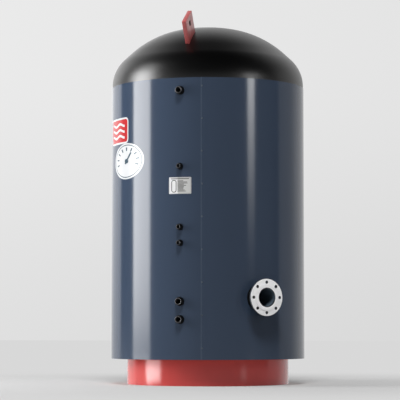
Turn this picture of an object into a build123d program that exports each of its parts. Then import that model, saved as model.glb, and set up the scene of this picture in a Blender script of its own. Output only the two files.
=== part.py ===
from build123d import *
import math
import os

# Indirect water heater: a steel storage vessel on a foot ring, in foam under a painted
# sheet jacket, with a domed top cover, one lifting lug, a column of six screwed sockets
# and a flanged opening. Millimetres. The origin is on the floor on the vessel's axis,
# +Z is up, the sockets face -Y, and an azimuth is counted from there towards +X.

# Vessel: a rolled shell between two dished ends, each with a knuckle and a crown.
VESSEL_DIAMETER = 1000
SHELL_WALL = 5
SHELL_LENGTH = 1658  # between the lines where the ends start to curve
END_WALL = 6
END_CROWN_RADIUS = 1000
END_KNUCKLE_RADIUS = 100
END_STRAIGHT = 25  # straight skirt of an end, above its curve
BOTTOM_CLEARANCE = 48  # lowest point of the vessel above the floor

# Foot ring, welded under the bottom end.
FOOT_WALL = 6
FOOT_WELD_DROP = 15  # top of the ring below the line where the end starts to curve

# Insulation and jacket.
INSULATION_THICKNESS = 99
FOAM_PANELS = 4  # the foam wall is laid round the shell in this many panels
PANEL_JOINT_AZIMUTH = 22.5  # clear of the sockets and of the flanged opening
JACKET_SHEET = 1
JACKET_FOOT_GAP = 158  # jacket's lower edge above the floor
JACKET_LIP = 3  # how far the sheet hangs below the foam
SEAM_DROP = 62  # joint of jacket and top cover below the top end's curve
LAP_AZIMUTH = 12.7  # line of rivets through the jacket's overlap
LAP_MARGIN = 7.5  # from the rivets to the sheet's visible edge
LAP_WIDTH = 40
LAP_RAMP = 10  # where the outer layer bends back onto the round

# Top cover: straight rim, knuckle, cone, crown and a small flat in the middle.
COVER_WALL = 4
COVER_INSET = 3  # its side stands this far inside the jacket's
COVER_TUCK = 25  # rim pushed down inside the jacket
COVER_STRAIGHT = 17
COVER_KNUCKLE_RADIUS = 215
COVER_SLOPE = 42.5
COVER_CONE_RUN = 46
COVER_FLAT_RADIUS = 70

# Lifting lug: a plate on edge, square to the cover, welded to the vessel's top end.
LUG_AZIMUTH = 1  # just off the column of sockets
LUG_INSET = 185  # from the cover's side to where the lug's middle leaves the cover
LUG_LENGTH = 160
LUG_HEIGHT = 140
LUG_THICKNESS = 25
LUG_CORNER = 3
LUG_HOLE_DIAMETER = 35
LUG_HOLE_HEIGHT = 92
LUG_SLOT_GAP = 1.5

# Screwed sockets, all on azimuth 0, set out from the lines where the ends start to curve.
HOT_WATER_DROP = 139  # below the top end's line
THERMOMETER_DROP = 454  # below the hot water socket
COLD_WATER_RISE = 155  # above the bottom end's line
HEATING_RETURN_RISE = 107  # above the cold water socket
LOWER_SENSOR_RISE = 347  # above the heating return
UPPER_SENSOR_RISE = 94  # above the lower sensor
SOCKET_PROUD = 40  # end face outside the jacket
SOCKET_CHAMFER = 1.5
THREAD_CHAMFER = 1
NOZZLE_INSIDE = 8  # how far a nozzle reaches inside the shell
LARGE_SOCKET_DIAMETER = 41
LARGE_THREAD_DIAMETER = 30.3
LARGE_THREAD_LENGTH = 30
LARGE_WATERWAY_DIAMETER = 27
LARGE_COLLAR_DIAMETER = 53
SMALL_SOCKET_DIAMETER = 27
SMALL_THREAD_DIAMETER = 18.6
SMALL_THREAD_LENGTH = 22
SMALL_WATERWAY_DIAMETER = 16
SMALL_COLLAR_DIAMETER = 39

# Rubber collars that close the holes in the jacket.
COLLAR_PROUD = 9
COLLAR_SLEEVE_PROUD = 26
COLLAR_SLEEVE_WALL = 4
COLLAR_CHAMFER = 2
JACKET_HOLE_MARGIN = 3

# Flanged opening.
FLANGE_AZIMUTH = 46.5
FLANGE_RISE = 285  # above the bottom end's line
FLANGE_PROUD = 90
FLANGE_DIAMETER = 220
FLANGE_THICKNESS = 20
RAISED_FACE_DIAMETER = 158
RAISED_FACE_HEIGHT = 3
BOLT_CIRCLE_DIAMETER = 180
BOLT_HOLE_DIAMETER = 18
BOLT_COUNT = 8
FLANGE_CHAMFER = 1.5
NECK_DIAMETER = 114.3
NECK_WALL = 3.6
NECK_SET_BACK = 6  # end of the neck behind the flange's face
NECK_COLLAR_DIAMETER = 160

# Rating plate.
PLATE_AZIMUTH = 0
PLATE_WIDTH = 138
PLATE_HEIGHT = 99
PLATE_DROP = 115  # its middle below the thermometer socket
PLATE_THICKNESS = 1

# Clearance where one piece is fitted round or against another.
FIT_GAP = 0.3

vessel_radius = VESSEL_DIAMETER / 2
foam_radius = vessel_radius + INSULATION_THICKNESS
jacket_radius = foam_radius + JACKET_SHEET
cover_radius = jacket_radius - COVER_INSET

# The crown of an end meets its knuckle where both have one tangent.
end_slope = math.asin((vessel_radius - END_KNUCKLE_RADIUS) / (END_CROWN_RADIUS - END_KNUCKLE_RADIUS))
end_depth = END_CROWN_RADIUS - (END_CROWN_RADIUS - END_KNUCKLE_RADIUS) * math.cos(end_slope)
lower_curve = BOTTOM_CLEARANCE + end_depth
upper_curve = lower_curve + SHELL_LENGTH
seam_height = upper_curve - SEAM_DROP
cover_spring = seam_height + COVER_STRAIGHT  # where the cover starts to curve

hot_water_height = upper_curve - HOT_WATER_DROP
thermometer_height = hot_water_height - THERMOMETER_DROP
cold_water_height = lower_curve + COLD_WATER_RISE
heating_return_height = cold_water_height + HEATING_RETURN_RISE
lower_sensor_height = heating_return_height + LOWER_SENSOR_RISE
upper_sensor_height = lower_sensor_height + UPPER_SENSOR_RISE
plate_middle = thermometer_height - PLATE_DROP

FROM_BASE = (Align.CENTER, Align.CENTER, Align.MIN)


def turned(*outline):
    """A body turned about Z from the lines and arcs of its half section in X and Z."""
    return revolve(Plane.XZ * make_face(outline), Axis.Z)


def turned_points(*points):
    """A body turned about Z from straight runs between points (radius, height)."""
    return turned(Polyline(*points, close=True))


def crown_arc(radius, spring, knuckle, slope, cone, flat):
    """The crown of a domed form: its lower edge (radius, height), radius and centre height.

    The slope is in degrees, where the knuckle ends, along the cone and where the crown starts.
    """
    rise, run = math.cos(math.radians(slope)), math.sin(math.radians(slope))
    edge = (radius - knuckle * (1 - run) - cone, spring + knuckle * rise + cone * run / rise)
    crown = (edge[0] - flat) / run
    return edge, crown, edge[1] - crown * rise


def domed(radius, base, spring, knuckle, slope, cone=0, flat=0):
    """A solid turned body: straight side, knuckle, cone and crown, flat in the middle."""
    edge, crown, centre = crown_arc(radius, spring, knuckle, slope, cone, flat)
    top = centre + crown
    knuckle_arc = CenterArc((radius - knuckle, spring), knuckle, 0, 90 - slope)
    outline = [
        Line((0, base), (radius, base)),
        Line((radius, base), (radius, spring)),
        knuckle_arc,
        CenterArc((flat, centre), crown, 90 - slope, slope),
        Line((0, top), (0, base)),
    ]
    if cone:
        outline.append(Line(knuckle_arc @ 1, edge))
    if flat:
        outline.append(Line((flat, top), (0, top)))
    return turned(*outline)


def vessel_end(inset=0):
    """The solid form of a dished end, curve upwards, with its curve starting at height 0.

    An inset makes it smaller all round, and a negative one larger.
    """
    return domed(
        vessel_radius - inset, -END_STRAIGHT, 0, END_KNUCKLE_RADIUS - inset, math.degrees(end_slope)
    )


def cover_form(inset, base):
    """The solid form of the top cover from a base height up, smaller by an inset."""
    return domed(
        cover_radius - inset, base, cover_spring, COVER_KNUCKLE_RADIUS - inset,
        COVER_SLOPE, COVER_CONE_RUN, COVER_FLAT_RADIUS,
    )


def ring(outer, inner, low, high):
    """A round wall between two radii and two heights."""
    return turned_points((inner, low), (outer, low), (outer, high), (inner, high))


def outward(azimuth, height):
    """A place on the axis at a height: Z points out of the tank, Y up."""
    turn = math.radians(azimuth)
    return Plane(
        origin=(0, 0, height),
        x_dir=(math.cos(turn), math.sin(turn), 0),
        z_dir=(math.sin(turn), -math.cos(turn), 0),
    ).location


def hole(place, diameter):
    """A drill that reaches out of the tank from its axis."""
    return place * Cylinder(diameter / 2, 2 * jacket_radius, align=FROM_BASE)


def socket(place, diameter, thread_diameter, thread_length, waterway_diameter):
    """A welding socket: a turned sleeve through shell and foam, with a threaded mouth."""
    body, thread, waterway = diameter / 2, thread_diameter / 2, waterway_diameter / 2
    face = jacket_radius + SOCKET_PROUD
    start = vessel_radius - SHELL_WALL - NOZZLE_INSIDE
    return place * turned_points(
        (waterway, start),
        (body, start),
        (body, face - SOCKET_CHAMFER),
        (body - SOCKET_CHAMFER, face),
        (thread + THREAD_CHAMFER, face),
        (thread, face - THREAD_CHAMFER),
        (thread, face - thread_length),
        (waterway, face - thread_length),
    )


def collar(place, diameter, bore_diameter):
    """A rubber collar: a rim that lies on the round of the jacket, and a short sleeve."""
    bore = bore_diameter / 2 + FIT_GAP
    sleeve = bore + COLLAR_SLEEVE_WALL
    rim = diameter / 2
    rim_face = jacket_radius + COLLAR_PROUD
    sleeve_end = jacket_radius + COLLAR_SLEEVE_PROUD
    underside = math.sqrt(jacket_radius**2 - rim**2) - COLLAR_CHAMFER
    body = turned_points(
        (bore, underside),
        (rim, underside),
        (rim, rim_face - COLLAR_CHAMFER),
        (rim - COLLAR_CHAMFER, rim_face),
        (sleeve + COLLAR_CHAMFER / 2, rim_face),
        (sleeve, rim_face + COLLAR_CHAMFER / 2),
        (sleeve, sleeve_end - COLLAR_CHAMFER),
        (sleeve - COLLAR_CHAMFER, sleeve_end),
        (bore, sleeve_end),
    )
    jacket_round = Cylinder(jacket_radius, 2 * diameter)
    return place * body - Pos(0, 0, place.position.Z) * jacket_round


def lug_plate(growth=0):
    """The lug's plate, long enough to run into the vessel's end, larger by a growth."""
    along = LUG_LENGTH / 2 + growth
    across = LUG_THICKNESS + 2 * growth
    depth = LUG_HEIGHT + INSULATION_THICKNESS + LUG_LENGTH / 2
    plate = Pos(0, 0, LUG_HEIGHT + growth - depth / 2) * Box(across, 2 * along, depth)
    corners = plate.edges().filter_by(Axis.X).group_by(Axis.Z)[-1]
    plate = fillet(corners, LUG_CORNER)
    return lug_place * plate


# Where the lug's middle leaves the cover: on the crown, square to its surface.
_, cover_crown, cover_crown_centre = crown_arc(
    cover_radius, cover_spring, COVER_KNUCKLE_RADIUS, COVER_SLOPE, COVER_CONE_RUN, COVER_FLAT_RADIUS
)
lug_seat_radius = cover_radius - LUG_INSET
lug_slope = math.asin((lug_seat_radius - COVER_FLAT_RADIUS) / cover_crown)
lug_place = Rotation(0, 0, LUG_AZIMUTH) * Location(
    (0, -lug_seat_radius, cover_crown_centre + cover_crown * math.cos(lug_slope)),
    (math.degrees(lug_slope), 0, 0),
)

large = (LARGE_SOCKET_DIAMETER, LARGE_THREAD_DIAMETER, LARGE_THREAD_LENGTH, LARGE_WATERWAY_DIAMETER)
small = (SMALL_SOCKET_DIAMETER, SMALL_THREAD_DIAMETER, SMALL_THREAD_LENGTH, SMALL_WATERWAY_DIAMETER)
sockets = {
    "hot_water": (outward(0, hot_water_height), large, LARGE_COLLAR_DIAMETER),
    "thermometer": (outward(0, thermometer_height), small, SMALL_COLLAR_DIAMETER),
    "upper_sensor": (outward(0, upper_sensor_height), small, SMALL_COLLAR_DIAMETER),
    "lower_sensor": (outward(0, lower_sensor_height), small, SMALL_COLLAR_DIAMETER),
    "heating_return": (outward(0, heating_return_height), large, LARGE_COLLAR_DIAMETER),
    "cold_water": (outward(0, cold_water_height), large, LARGE_COLLAR_DIAMETER),
}
flange_place = outward(FLANGE_AZIMUTH, lower_curve + FLANGE_RISE)
nozzles = [(place, sizes[0]) for place, sizes, _ in sockets.values()]
nozzles.append((flange_place, NECK_DIAMETER))


def pierced(wall, margin):
    """A wall with a hole for every nozzle, wider than the nozzle by a margin all round."""
    for place, diameter in nozzles:
        wall -= hole(place, diameter + 2 * margin)
    return wall


parts = {}

# Vessel
top_end_place = Pos(0, 0, upper_curve)
bottom_end_place = Pos(0, 0, lower_curve) * Rotation(180, 0, 0)
end_wall = vessel_end() - vessel_end(END_WALL)
parts["vessel_top_end"] = top_end_place * end_wall
parts["vessel_bottom_end"] = bottom_end_place * end_wall
shell = ring(
    vessel_radius, vessel_radius - SHELL_WALL, lower_curve + END_STRAIGHT, upper_curve - END_STRAIGHT
)
parts["vessel_shell"] = pierced(shell, FIT_GAP)

# Foot ring, its top edge cut to the round of the bottom end
foot = ring(vessel_radius, vessel_radius - FOOT_WALL, 0, lower_curve - FOOT_WELD_DROP)
parts["foot_ring"] = foot - bottom_end_place * vessel_end(-FIT_GAP)

# Insulation: panels round the shell with a ledge for the cover's rim, and a cap on the end
foam_bottom = JACKET_FOOT_GAP + JACKET_LIP
ledge = seam_height - COVER_TUCK
ledge_radius = cover_radius - COVER_WALL - FIT_GAP
foam_wall = turned_points(
    (vessel_radius + FIT_GAP, foam_bottom),
    (foam_radius - FIT_GAP, foam_bottom),
    (foam_radius - FIT_GAP, ledge),
    (ledge_radius, ledge),
    (ledge_radius, seam_height),
    (vessel_radius + FIT_GAP, seam_height),
)
for panel in range(FOAM_PANELS):
    joint = outward(PANEL_JOINT_AZIMUTH + panel * 360 / FOAM_PANELS, upper_curve / 2)
    foam_wall -= joint * Box(FIT_GAP, 2 * upper_curve, 2 * jacket_radius, align=FROM_BASE)
parts["insulation_wall"] = pierced(foam_wall, FIT_GAP)
vessel_core = Pos(0, 0, seam_height) * Cylinder(
    vessel_radius + FIT_GAP, upper_curve - seam_height, align=FROM_BASE
)
foam_cap = cover_form(COVER_WALL + FIT_GAP, seam_height) - vessel_core
foam_cap -= top_end_place * vessel_end(-FIT_GAP)
parts["insulation_top"] = foam_cap - lug_plate(FIT_GAP)

# Jacket: a rolled sheet whose outer end laps over the inner one
sheet = ring(jacket_radius, foam_radius, JACKET_FOOT_GAP, seam_height)
rivet_angle = LAP_AZIMUTH - 90
degrees_per_mm = math.degrees(1 / jacket_radius)
lap_edge = rivet_angle - LAP_MARGIN * degrees_per_mm
lap_flat_end = lap_edge + (LAP_WIDTH - LAP_RAMP) * degrees_per_mm
lap_end = lap_edge + LAP_WIDTH * degrees_per_mm
lap_radius = jacket_radius + JACKET_SHEET
sheet_middle = jacket_radius - JACKET_SHEET / 2


def on_round(radius, angle):
    return (radius * math.cos(math.radians(angle)), radius * math.sin(math.radians(angle)))


lap_outline = [
    CenterArc((0, 0), lap_radius, lap_edge, lap_flat_end - lap_edge),
    Line(on_round(lap_radius, lap_flat_end), on_round(jacket_radius, lap_end)),
    Line(on_round(jacket_radius, lap_end), on_round(sheet_middle, lap_end)),
    CenterArc((0, 0), sheet_middle, lap_edge, lap_end - lap_edge),
    Line(on_round(sheet_middle, lap_edge), on_round(lap_radius, lap_edge)),
]
lap = Pos(0, 0, JACKET_FOOT_GAP) * extrude(make_face(lap_outline), seam_height - JACKET_FOOT_GAP)
parts["jacket_sheet"] = pierced(sheet + lap, JACKET_HOLE_MARGIN)

# Top cover, slotted for the lug
cover = cover_form(0, ledge) - cover_form(COVER_WALL, ledge)
parts["top_cover"] = cover - lug_plate(LUG_SLOT_GAP)

# Lifting lug
lug_hole = lug_place * Pos(0, 0, LUG_HOLE_HEIGHT) * Rotation(0, 90, 0) * Cylinder(
    LUG_HOLE_DIAMETER / 2, 2 * LUG_THICKNESS
)
parts["lifting_lug"] = lug_plate() - top_end_place * vessel_end(-FIT_GAP) - lug_hole

# Screwed sockets and their collars
for name, (place, sizes, collar_diameter) in sockets.items():
    parts[f"{name}_socket"] = socket(place, *sizes)
    parts[f"{name}_collar"] = collar(place, collar_diameter, sizes[0])

# Flanged opening: a neck welded into the shell, a flange with a raised face, a collar
face = jacket_radius + FLANGE_PROUD
neck_start = vessel_radius - SHELL_WALL - NOZZLE_INSIDE
parts["flange_neck"] = flange_place * ring(
    NECK_DIAMETER / 2, NECK_DIAMETER / 2 - NECK_WALL, neck_start, face - NECK_SET_BACK
)
flange_radius = FLANGE_DIAMETER / 2
flange_bore = NECK_DIAMETER / 2 + FIT_GAP
rim_front = face - RAISED_FACE_HEIGHT
rim_back = face - FLANGE_THICKNESS
flange = turned_points(
    (flange_bore, rim_back),
    (flange_radius - FLANGE_CHAMFER, rim_back),
    (flange_radius, rim_back + FLANGE_CHAMFER),
    (flange_radius, rim_front - FLANGE_CHAMFER),
    (flange_radius - FLANGE_CHAMFER, rim_front),
    (RAISED_FACE_DIAMETER / 2, rim_front),
    (RAISED_FACE_DIAMETER / 2, face),
    (flange_bore, face),
)
bolt_holes = Pos(0, 0, rim_back) * PolarLocations(BOLT_CIRCLE_DIAMETER / 2, BOLT_COUNT, start_angle=90)
for bolt_place in bolt_holes:
    flange -= bolt_place * Cylinder(BOLT_HOLE_DIAMETER / 2, 3 * FLANGE_THICKNESS)
parts["flange_ring"] = flange_place * flange
parts["flange_collar"] = collar(flange_place, NECK_COLLAR_DIAMETER, NECK_DIAMETER)

# Rating plate, rolled to the round of the jacket
plate_radius = jacket_radius + FIT_GAP
plate = ring(
    plate_radius + PLATE_THICKNESS, plate_radius,
    plate_middle - PLATE_HEIGHT / 2, plate_middle + PLATE_HEIGHT / 2,
)
plate_window = outward(PLATE_AZIMUTH, plate_middle) * Box(
    PLATE_WIDTH, 2 * PLATE_HEIGHT, 2 * jacket_radius, align=FROM_BASE
)
parts["rating_plate"] = plate & plate_window

os.makedirs("parts", exist_ok=True)
for name, shape in parts.items():
    export_step(shape, f"parts/{name}.step")
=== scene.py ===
import math

import bmesh
import bpy
from mathutils import Matrix, Vector


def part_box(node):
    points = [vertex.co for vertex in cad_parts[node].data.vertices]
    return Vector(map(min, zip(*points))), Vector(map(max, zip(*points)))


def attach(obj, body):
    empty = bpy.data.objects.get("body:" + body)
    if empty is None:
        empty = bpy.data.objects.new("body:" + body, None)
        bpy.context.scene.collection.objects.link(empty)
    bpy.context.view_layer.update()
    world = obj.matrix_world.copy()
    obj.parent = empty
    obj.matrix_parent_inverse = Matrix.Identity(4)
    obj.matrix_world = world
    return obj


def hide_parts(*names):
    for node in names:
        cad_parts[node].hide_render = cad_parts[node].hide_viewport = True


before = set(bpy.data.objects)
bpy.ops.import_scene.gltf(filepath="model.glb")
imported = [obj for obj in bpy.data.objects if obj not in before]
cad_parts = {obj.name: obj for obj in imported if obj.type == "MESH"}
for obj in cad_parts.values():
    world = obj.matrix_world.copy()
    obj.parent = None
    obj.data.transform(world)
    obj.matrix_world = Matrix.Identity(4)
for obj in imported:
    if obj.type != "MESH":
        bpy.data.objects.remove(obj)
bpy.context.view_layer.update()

# Jacket
# A rolled steel sheet, 1 mm thick and painted glossy slate blue, round the tank's foam.
# Its outer end laps over the inner one beside the sockets, and is riveted through it.
jacket_low, jacket_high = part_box("jacket_sheet")
jacket_radius = jacket_high.x
SHEET = 0.001
LAP_AZIMUTH = 12.7
LAP_MARGIN = 0.0075
LAP_WIDTH = 0.040
LAP_RAMP = 0.010
HOLE_MARGIN = 0.003
HOLE_REACH = 0.05
ROW_MARGIN = 0.012
SLATE = (0.0370, 0.0543, 0.0880)
SLATE_SHADE = (0.0351, 0.0513, 0.0830)
# A lighter strip beside the lap's edge: paint worn thin there, and a painted highlight of the edge
# catching the light.
SLATE_WORN_AND_HIGHLIGHT = (0.066, 0.090, 0.127)
WORN_AND_HIGHLIGHT_WIDTH = 0.006
WORN_AND_HIGHLIGHT_SHARE = 0.8
HEM = 0.0008
HEM_WIDTH = 0.003
HEM_ROUND = ((0.08, 0.7), (0.25, 1), (0.5, 0.9), (0.75, 0.5), (1, 0))
SOCKETS = ("hot_water", "thermometer", "upper_sensor", "lower_sensor", "heating_return", "cold_water")


class Signal:
    """A node's output that plain arithmetic can be written with."""

    def __init__(self, board, socket):
        self.board = board
        self.socket = socket

    def math(self, operation, *values):
        return self.board.add("ShaderNodeMath", {"operation": operation}, dict(enumerate(values)))

    def other(self, name):
        return Signal(self.board, self.socket.node.outputs[name])

    def least(self, value):
        return self.math("MINIMUM", self, value)

    def most(self, value):
        return self.math("MAXIMUM", self, value)

    def root(self):
        return self.math("SQRT", self)

    def sine(self):
        return self.math("SINE", self)

    def floor(self):
        return self.math("FLOOR", self)

    def __add__(self, value):
        return self.math("ADD", self, value)

    def __radd__(self, value):
        return self.math("ADD", value, self)

    def __sub__(self, value):
        return self.math("SUBTRACT", self, value)

    def __rsub__(self, value):
        return self.math("SUBTRACT", value, self)

    def __mul__(self, value):
        return self.math("MULTIPLY", self, value)

    def __rmul__(self, value):
        return self.math("MULTIPLY", value, self)

    def __truediv__(self, value):
        return self.math("DIVIDE", self, value)

    def __neg__(self):
        return self.math("MULTIPLY", self, -1)

    def __abs__(self):
        return self.math("ABSOLUTE", self)

    def step(self, edge, soft):
        """1 where the value is well over an edge, 0 well under it, soft between."""
        return ((self - edge + soft / 2) / soft).most(0).least(1)

    def smooth(self, low, high):
        """A smooth rise from 0 at one value to 1 at another."""
        settings = {"interpolation_type": "SMOOTHSTEP"}
        return self.board.add("ShaderNodeMapRange", settings, {0: self, 1: low, 2: high, 3: 0, 4: 1})


class Board:
    """A node tree that is being wired."""

    def __init__(self, tree):
        self.tree = tree

    def add(self, kind, settings=None, inputs=None, out=0):
        """A new node: its settings first, then the value or link of each socket."""
        node = self.tree.nodes.new(kind)
        for name, value in (settings or {}).items():
            setattr(node, name, value)
        for name, value in (inputs or {}).items():
            if isinstance(value, Signal):
                self.tree.links.new(value.socket, node.inputs[name])
            else:
                node.inputs[name].default_value = value
        return Signal(self, node.outputs[out]) if len(node.outputs) else node


class Finish(Board):
    """The material of one finish, with a Principled shader."""

    def __init__(self, name, **constants):
        self.material = bpy.data.materials.new(name)
        self.material.use_nodes = True
        super().__init__(self.material.node_tree)
        self.shader = next(n for n in self.tree.nodes if n.type == "BSDF_PRINCIPLED")
        for socket, value in constants.items():
            self.shader.inputs[socket.replace("_", " ")].default_value = value

    def feed(self, socket, signal):
        self.tree.links.new(signal.socket, self.shader.inputs[socket])

    def place(self, stretch=(1, 1, 1), turn=(0, 0, 0)):
        """Object coordinates, stretched and turned."""
        spot = self.add("ShaderNodeTexCoord", out="Object")
        return self.add("ShaderNodeMapping", inputs={"Vector": spot, "Scale": stretch, "Rotation": turn})

    def noise(self, scale, detail=2, stretch=(1, 1, 1)):
        return self.add("ShaderNodeTexNoise", inputs={
            "Vector": self.place(stretch), "Scale": scale, "Detail": detail,
        })

    def mix(self, factor, one, two):
        return self.add("ShaderNodeMix", {"data_type": "RGBA"}, {0: factor, 6: one, 7: two}, out=2)

    def bump(self, height, distance, strength=1.0):
        self.feed("Normal", self.add("ShaderNodeBump", inputs={
            "Height": height, "Distance": distance, "Strength": strength,
        }))


def rgba(colour):
    return (*colour, 1)


def made(name, vertices, faces):
    """A mesh object in the frame, its doubles merged and its faces turned outwards."""
    mesh = bpy.data.meshes.new(name)
    mesh.from_pydata([tuple(v) for v in vertices], [], faces)
    shape = bmesh.new()
    shape.from_mesh(mesh)
    bmesh.ops.remove_doubles(shape, verts=shape.verts, dist=1e-6)
    bmesh.ops.dissolve_degenerate(shape, edges=shape.edges, dist=1e-7)
    bmesh.ops.recalc_face_normals(shape, faces=shape.faces)
    shape.to_mesh(mesh)
    shape.free()
    thing = bpy.data.objects.new(name, mesh)
    bpy.context.scene.collection.objects.link(thing)
    return thing


def applied(thing):
    """Makes what the modifiers show the object's own plain mesh."""
    bpy.context.view_layer.update()
    graph = bpy.context.evaluated_depsgraph_get()
    mesh = bpy.data.meshes.new_from_object(thing.evaluated_get(graph), depsgraph=graph)
    thing.modifiers.clear()
    thing.data = mesh
    return thing


def cut(thing, *cutters):
    """Takes the cutters' shapes out of an object and deletes them."""
    for cutter in cutters:
        drill = thing.modifiers.new("cut", "BOOLEAN")
        drill.object = cutter
        drill.solver = "EXACT"
    applied(thing)
    for cutter in cutters:
        bpy.data.objects.remove(cutter)
    return thing


def dressed(thing, material, slot, *nodes, sharp=30):
    """Gives a finished piece its material, its shading and its body. The slot is not used."""
    thing.data.materials.clear()
    thing.data.materials.append(material)
    thing.data.shade_smooth()
    thing.data.set_sharp_from_angle(angle=math.radians(sharp))
    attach(thing, "root")
    if nodes:
        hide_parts(*nodes)
    return thing


def outward(azimuth, height, distance=0.0):
    """Local X to the right, Y up and Z out of the tank, at an azimuth in degrees."""
    turn = math.radians(azimuth)
    out = Vector((math.sin(turn), -math.cos(turn), 0))
    right = Vector((math.cos(turn), math.sin(turn), 0))
    spot = out * distance + Vector((0, 0, height))
    return Matrix.Translation(spot) @ Matrix((right, (0, 0, 1), out)).transposed().to_4x4()


def turned(name, profile, place=Matrix(), steps=96):
    """A closed half section of points (radius, height) turned about the local Z axis."""
    count = len(profile)
    vertices = []
    for step in range(steps):
        turn = math.tau * step / steps
        vertices += [place @ Vector((r * math.cos(turn), r * math.sin(turn), z)) for r, z in profile]
    faces = []
    for step in range(steps):
        here, there = step * count, (step + 1) % steps * count
        for i in range(count):
            j = (i + 1) % count
            if profile[i][0] > 0 or profile[j][0] > 0:
                faces.append((here + i, here + j, there + j, there + i))
    return made(name, vertices, faces)


def drill(place, radius, low, high, steps=96):
    """A plain round cutter along the local Z axis."""
    return turned("drill", [(0, low), (radius, low), (radius, high), (0, high)], place, steps)


def opening(node):
    """Height and radius of a round fitting at the front."""
    low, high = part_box(node)
    return (low.z + high.z) / 2, (high.z - low.z) / 2


flange_height, flange_radius = opening("flange_ring")
neck_radius = opening("flange_neck")[1]
FLANGE_AZIMUTH = 46.5
holes = [(0, *opening(f"{name}_socket")) for name in SOCKETS]
holes.append((FLANGE_AZIMUTH, flange_height, neck_radius))

rivet_turn = LAP_AZIMUTH - 90
per_metre = math.degrees(1 / jacket_radius)
lap_edge = rivet_turn - LAP_MARGIN * per_metre
lap_end = lap_edge + LAP_WIDTH * per_metre
lap_flat_end = lap_end - LAP_RAMP * per_metre
columns = [(turn, jacket_radius) for turn in range(-90, 270) if not lap_edge <= turn <= lap_end]
columns += [(turn, jacket_radius + SHEET) for turn in range(-90, 270) if lap_edge < turn < lap_flat_end]
columns += [(lap_edge, jacket_radius), (lap_edge + 1e-4, jacket_radius + SHEET)]
for part, lift in HEM_ROUND:
    columns.append((lap_edge + part * HEM_WIDTH * per_metre, jacket_radius + SHEET + lift * HEM))
columns += [(lap_flat_end, jacket_radius + SHEET), (lap_end, jacket_radius)]
columns.sort()
levels = {jacket_low.z, jacket_high.z}
for _, height, radius in holes:
    levels |= {height - radius - ROW_MARGIN, height + radius + ROW_MARGIN}
levels = sorted(levels)

vertices = []
for turn, radius in columns:
    across = Vector((math.cos(math.radians(turn)), math.sin(math.radians(turn)), 0))
    outside = [across * radius + Vector((0, 0, level)) for level in levels]
    inside = [across * (jacket_radius - SHEET) + Vector((0, 0, level)) for level in reversed(levels)]
    vertices += outside + inside
around = 2 * len(levels)
faces = []
for column in range(len(columns)):
    here, there = column * around, (column + 1) % len(columns) * around
    for i in range(around):
        j = (i + 1) % around
        faces.append((here + i, there + i, there + j, here + j))
jacket = made("jacket", vertices, faces)
hole_inner, hole_outer = jacket_radius - HOLE_REACH, jacket_radius + HOLE_REACH
cut(jacket, *[
    drill(outward(azimuth, height), radius + HOLE_MARGIN, hole_inner, hole_outer)
    for azimuth, height, radius in holes
])

paint = Finish("slate_paint", Roughness=0.14, Specular_IOR_Level=0.38)
cloud = paint.noise(2.3, 3)
colour = paint.mix(cloud, rgba(SLATE), rgba(SLATE_SHADE))
spot = paint.add("ShaderNodeSeparateXYZ", inputs={0: paint.place()})
past_edge = spot.math("ARCTAN2", spot, -spot.other("Y")) - math.radians(lap_edge + 90)
past_edge = past_edge * jacket_radius
# The strip beside the lap's edge: worn paint and a painted highlight.
worn_and_highlight = past_edge.step(0, 0.0004) - past_edge.step(WORN_AND_HIGHLIGHT_WIDTH, 0.002)
paint.feed("Base Color", paint.mix(worn_and_highlight * WORN_AND_HIGHLIGHT_SHARE, colour, rgba(SLATE_WORN_AND_HIGHLIGHT)))
paint.feed("Roughness", paint.noise(35, 4) * 0.04 + 0.115)
paint.bump(paint.noise(420, 2), 0.00002, 0.3)
slate_paint = paint.material
dressed(jacket, slate_paint, "blue_paint", "jacket_sheet", sharp=20)

# Rivets
# Nine aluminium blind rivets with low round heads, set in a row through the jacket's
# overlap and painted with it. Their coat is lighter than the jacket's: a painted highlight
# on the heads.
RIVETS = 9
RIVET_PITCH = 0.195
RIVET_LOWEST = 0.2266
RIVET_RADIUS = 0.0056
RIVET_HEIGHT = 0.0028
RIVET_COAT_AND_HIGHLIGHT = (0.060, 0.080, 0.104)
RIVET_SHADE = (0.050, 0.067, 0.088)


def geometry(name, **inputs):
    """A Geometry Nodes tree with named number inputs, and those inputs as signals."""
    tree = bpy.data.node_groups.new(name, "GeometryNodeTree")
    tree.interface.new_socket("Geometry", in_out="OUTPUT", socket_type="NodeSocketGeometry")
    for key, kind in inputs.items():
        tree.interface.new_socket(key, in_out="INPUT", socket_type=kind)
    board = Board(tree)
    source = tree.nodes.new("NodeGroupInput")
    return board, {key: Signal(board, source.outputs[key]) for key in inputs}


def closed(board, shape, material):
    """Ends a tree in real geometry with its material."""
    real = board.add("GeometryNodeRealizeInstances", inputs={"Geometry": shape})
    done = board.add("GeometryNodeSetMaterial", inputs={"Geometry": real, "Material": material})
    board.add("NodeGroupOutput", inputs={"Geometry": done})
    return board.tree


def grown(name, tree, **values):
    """A plain mesh that a tree makes from these inputs."""
    thing = made(name, [], [])
    maker = thing.modifiers.new("maker", "NODES")
    maker.node_group = tree
    for item in tree.interface.items_tree:
        if item.in_out == "INPUT":
            maker[item.identifier] = values[item.name]
    return applied(thing)


head_coat = Finish("rivet_paint", Roughness=0.3, Specular_IOR_Level=0.5)
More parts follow.
